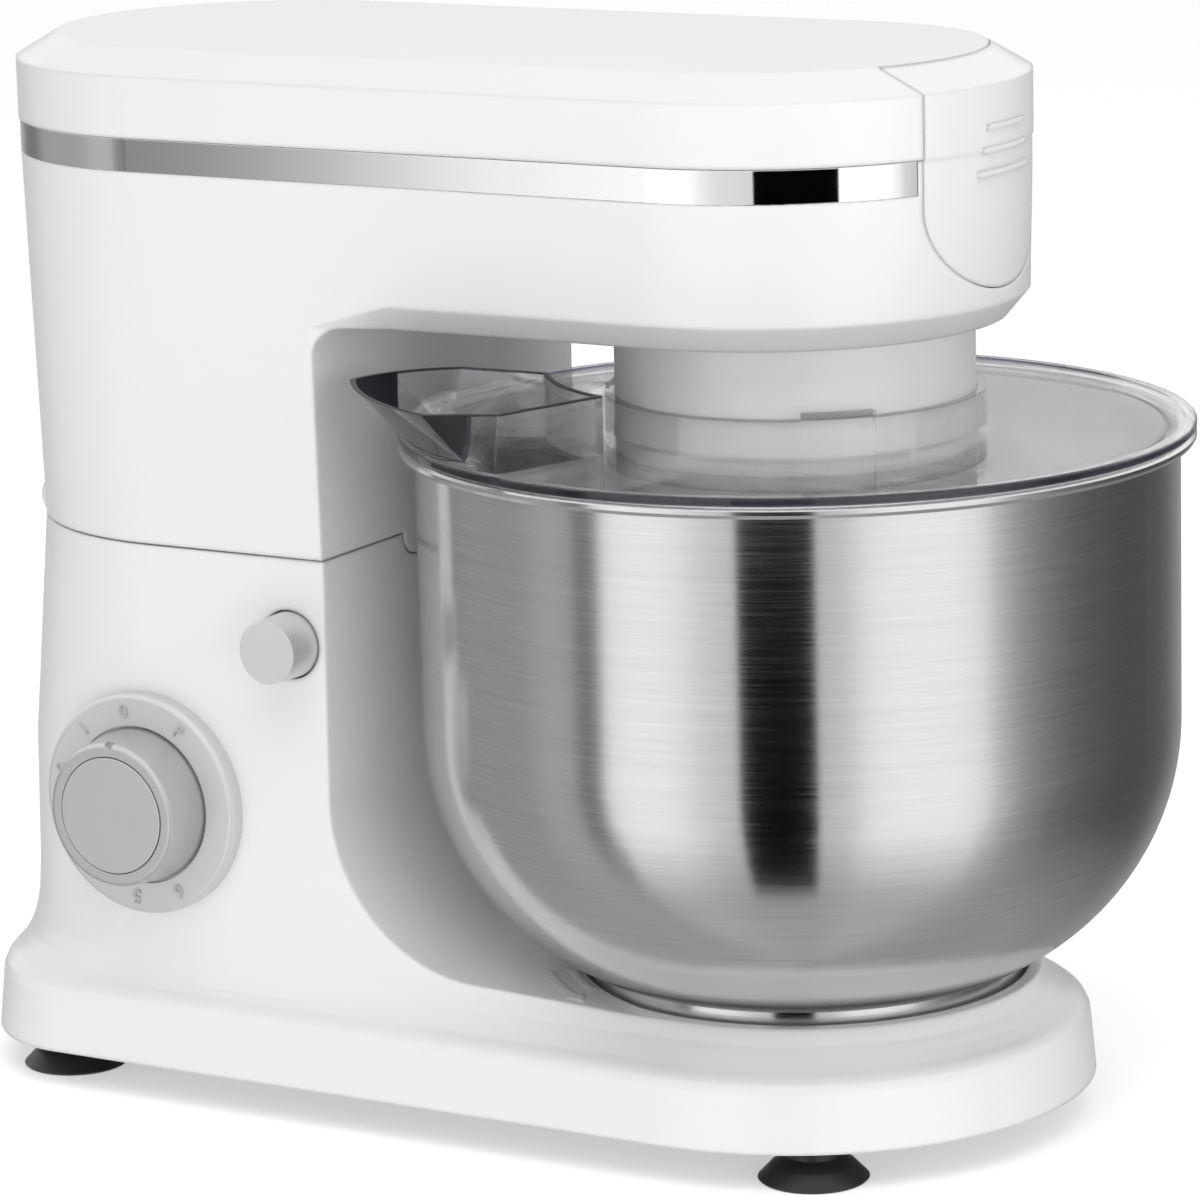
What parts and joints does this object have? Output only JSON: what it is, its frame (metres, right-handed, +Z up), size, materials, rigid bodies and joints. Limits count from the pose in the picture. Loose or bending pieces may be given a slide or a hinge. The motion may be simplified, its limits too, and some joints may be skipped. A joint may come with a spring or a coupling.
{
  "type": "stand mixer",
  "caption": "Tilt-head stand mixer: oblong head on a split column, steel bowl with clear splash lid and chute, side speed knob, release button and planetary drive.",
  "frame": {"origin": "where the axis of the bowl meets the floor", "axes": "+Z up, +X from the column towards the bowl, -Y the side with the speed knob"},
  "size_m": [0.3797, 0.23, 0.3135],
  "materials": {
    "white_shell": "glossy white",
    "grey_plastic": "matt grey",
    "black_rubber": "matt black",
    "screw_steel": "plated",
    "bowl_steel": "brushed round the axis",
    "bright_trim": "polished",
    "silver_plastic": "satin silver paint",
    "shaft_steel": "ground",
    "board_green": "varnished board",
    "motor_iron": "varnished sheets",
    "copper_wire": "enamelled wire",
    "cast_metal": "die cast",
    "gear_plastic": "natural nylon",
    "clear_lid": "clear smoky plastic"
  },
  "bodies": {
    "base": {"base_housing": "white_shell", "bottom_plate": "grey_plastic", "suction_feet": "black_rubber", "plate_screws": "screw_steel", "bowl_seat": "grey_plastic", "hinge_pin": "shaft_steel", "button_guide": "grey_plastic", "button_spring": "shaft_steel", "latch_bracket": "grey_plastic", "tilt_lock": "grey_plastic", "dial_ring": "silver_plastic", "rotary_switch": "grey_plastic", "control_board": "board_green", "board_bracket": "grey_plastic"},
    "head": {"head_housing": "white_shell", "top_cover": "white_shell", "chrome_band": "bright_trim", "outlet_socket": "grey_plastic", "motor_stator": "motor_iron", "field_coils": "copper_wire", "front_bracket": "cast_metal", "rear_bracket": "cast_metal", "motor_cradle": "grey_plastic", "gear_frame": "cast_metal", "neck": "white_shell", "ring_gear": "gear_plastic", "splash_lid": "clear_lid"},
    "outlet_cover": {"front_cover": "white_shell"},
    "bowl": {"bowl": "bowl_steel"},
    "knob": {"speed_knob": "silver_plastic", "knob_cap": "silver_plastic", "switch_shaft": "shaft_steel"},
    "button": {"release_button": "silver_plastic"},
    "latch": {"latch_lever": "grey_plastic"},
    "rotor": {"armature": "motor_iron", "motor_shaft": "shaft_steel", "motor_fan": "grey_plastic", "drive_pinion": "shaft_steel"},
    "carrier": {"crown_gear": "gear_plastic", "drive_shaft": "shaft_steel", "planet_carrier": "cast_metal"},
    "planet": {"planet_pinion": "gear_plastic", "beater_shaft": "shaft_steel", "cross_pin": "shaft_steel", "flat_beater": "cast_metal"}
  },
  "joints": [
    {"name": "head_tilt", "type": "hinge", "parent": "base", "child": "head", "pos_m": [-0.245, 0, 0.168], "axis": [0, -1, 0], "range_deg": [0, 35]},
    {"name": "cover_pull", "type": "slide", "parent": "head", "child": "outlet_cover", "axis": [1, 0, 0], "range_m": [0, 0.03]},
    {"name": "bowl_twist", "type": "hinge", "parent": "base", "child": "bowl", "pos_m": [0, 0, 0.04], "axis": [0, 0, 1], "range_deg": [0, 40]},
    {"name": "knob_turn", "type": "hinge", "parent": "base", "child": "knob", "pos_m": [-0.182, -0.078, 0.0895], "axis": [0, 1, 0], "range_deg": [-200, 41]},
    {"name": "button_push", "type": "slide", "parent": "base", "child": "button", "axis": [0, 1, 0], "range_m": [0, 0.005], "stiffness_N_per_m": 500, "springref_m": -0.002, "deforming": ["button_spring"]},
    {"name": "latch_turn", "type": "hinge", "parent": "base", "child": "latch", "pos_m": [-0.142, -0.036, 0.1418], "axis": [0, 0, 1], "range_deg": [0, 25]},
    {"name": "carrier_spin", "type": "hinge", "parent": "head", "child": "carrier", "pos_m": [0, 0, 0.2], "axis": [0, 0, 1], "continuous": true},
    {"name": "motor_spin", "type": "hinge", "parent": "head", "child": "rotor", "pos_m": [-0.15, 0, 0.2703], "axis": [1, 0, 0], "continuous": true},
    {"name": "beater_spin", "type": "hinge", "parent": "carrier", "child": "planet", "pos_m": [0.026, 0, 0.2], "axis": [0, 0, 1], "continuous": true}
  ],
  "couplings": [
    {"joint": "latch_turn", "follows": "button_push", "rad_per_m": 87},
    {"joint": "motor_spin", "follows": "carrier_spin", "ratio": -3.3333},
    {"joint": "beater_spin", "follows": "carrier_spin", "ratio": -3.1667}
  ]
}
